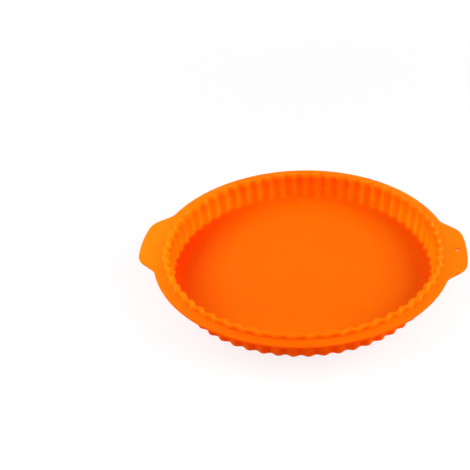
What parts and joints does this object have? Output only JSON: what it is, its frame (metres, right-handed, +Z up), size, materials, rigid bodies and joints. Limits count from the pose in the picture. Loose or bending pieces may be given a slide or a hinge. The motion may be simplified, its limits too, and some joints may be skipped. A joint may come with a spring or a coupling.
{
  "type": "silicone tart mould",
  "caption": "Round fluted silicone baking mould with a flat rim, a raised wavy lip, two wide handle tabs and a small hanging hole.",
  "frame": {"origin": "centre of the round base, on the surface that it stands on", "axes": "+Z up through the open mouth, +X towards the handle with the hanging hole, +Y across the handles"},
  "size_m": [0.307, 0.28, 0.0287],
  "materials": {
    "silicone": "satin"
  },
  "bodies": {
    "root": {"tart_mould": "silicone"}
  },
  "joints": []
}
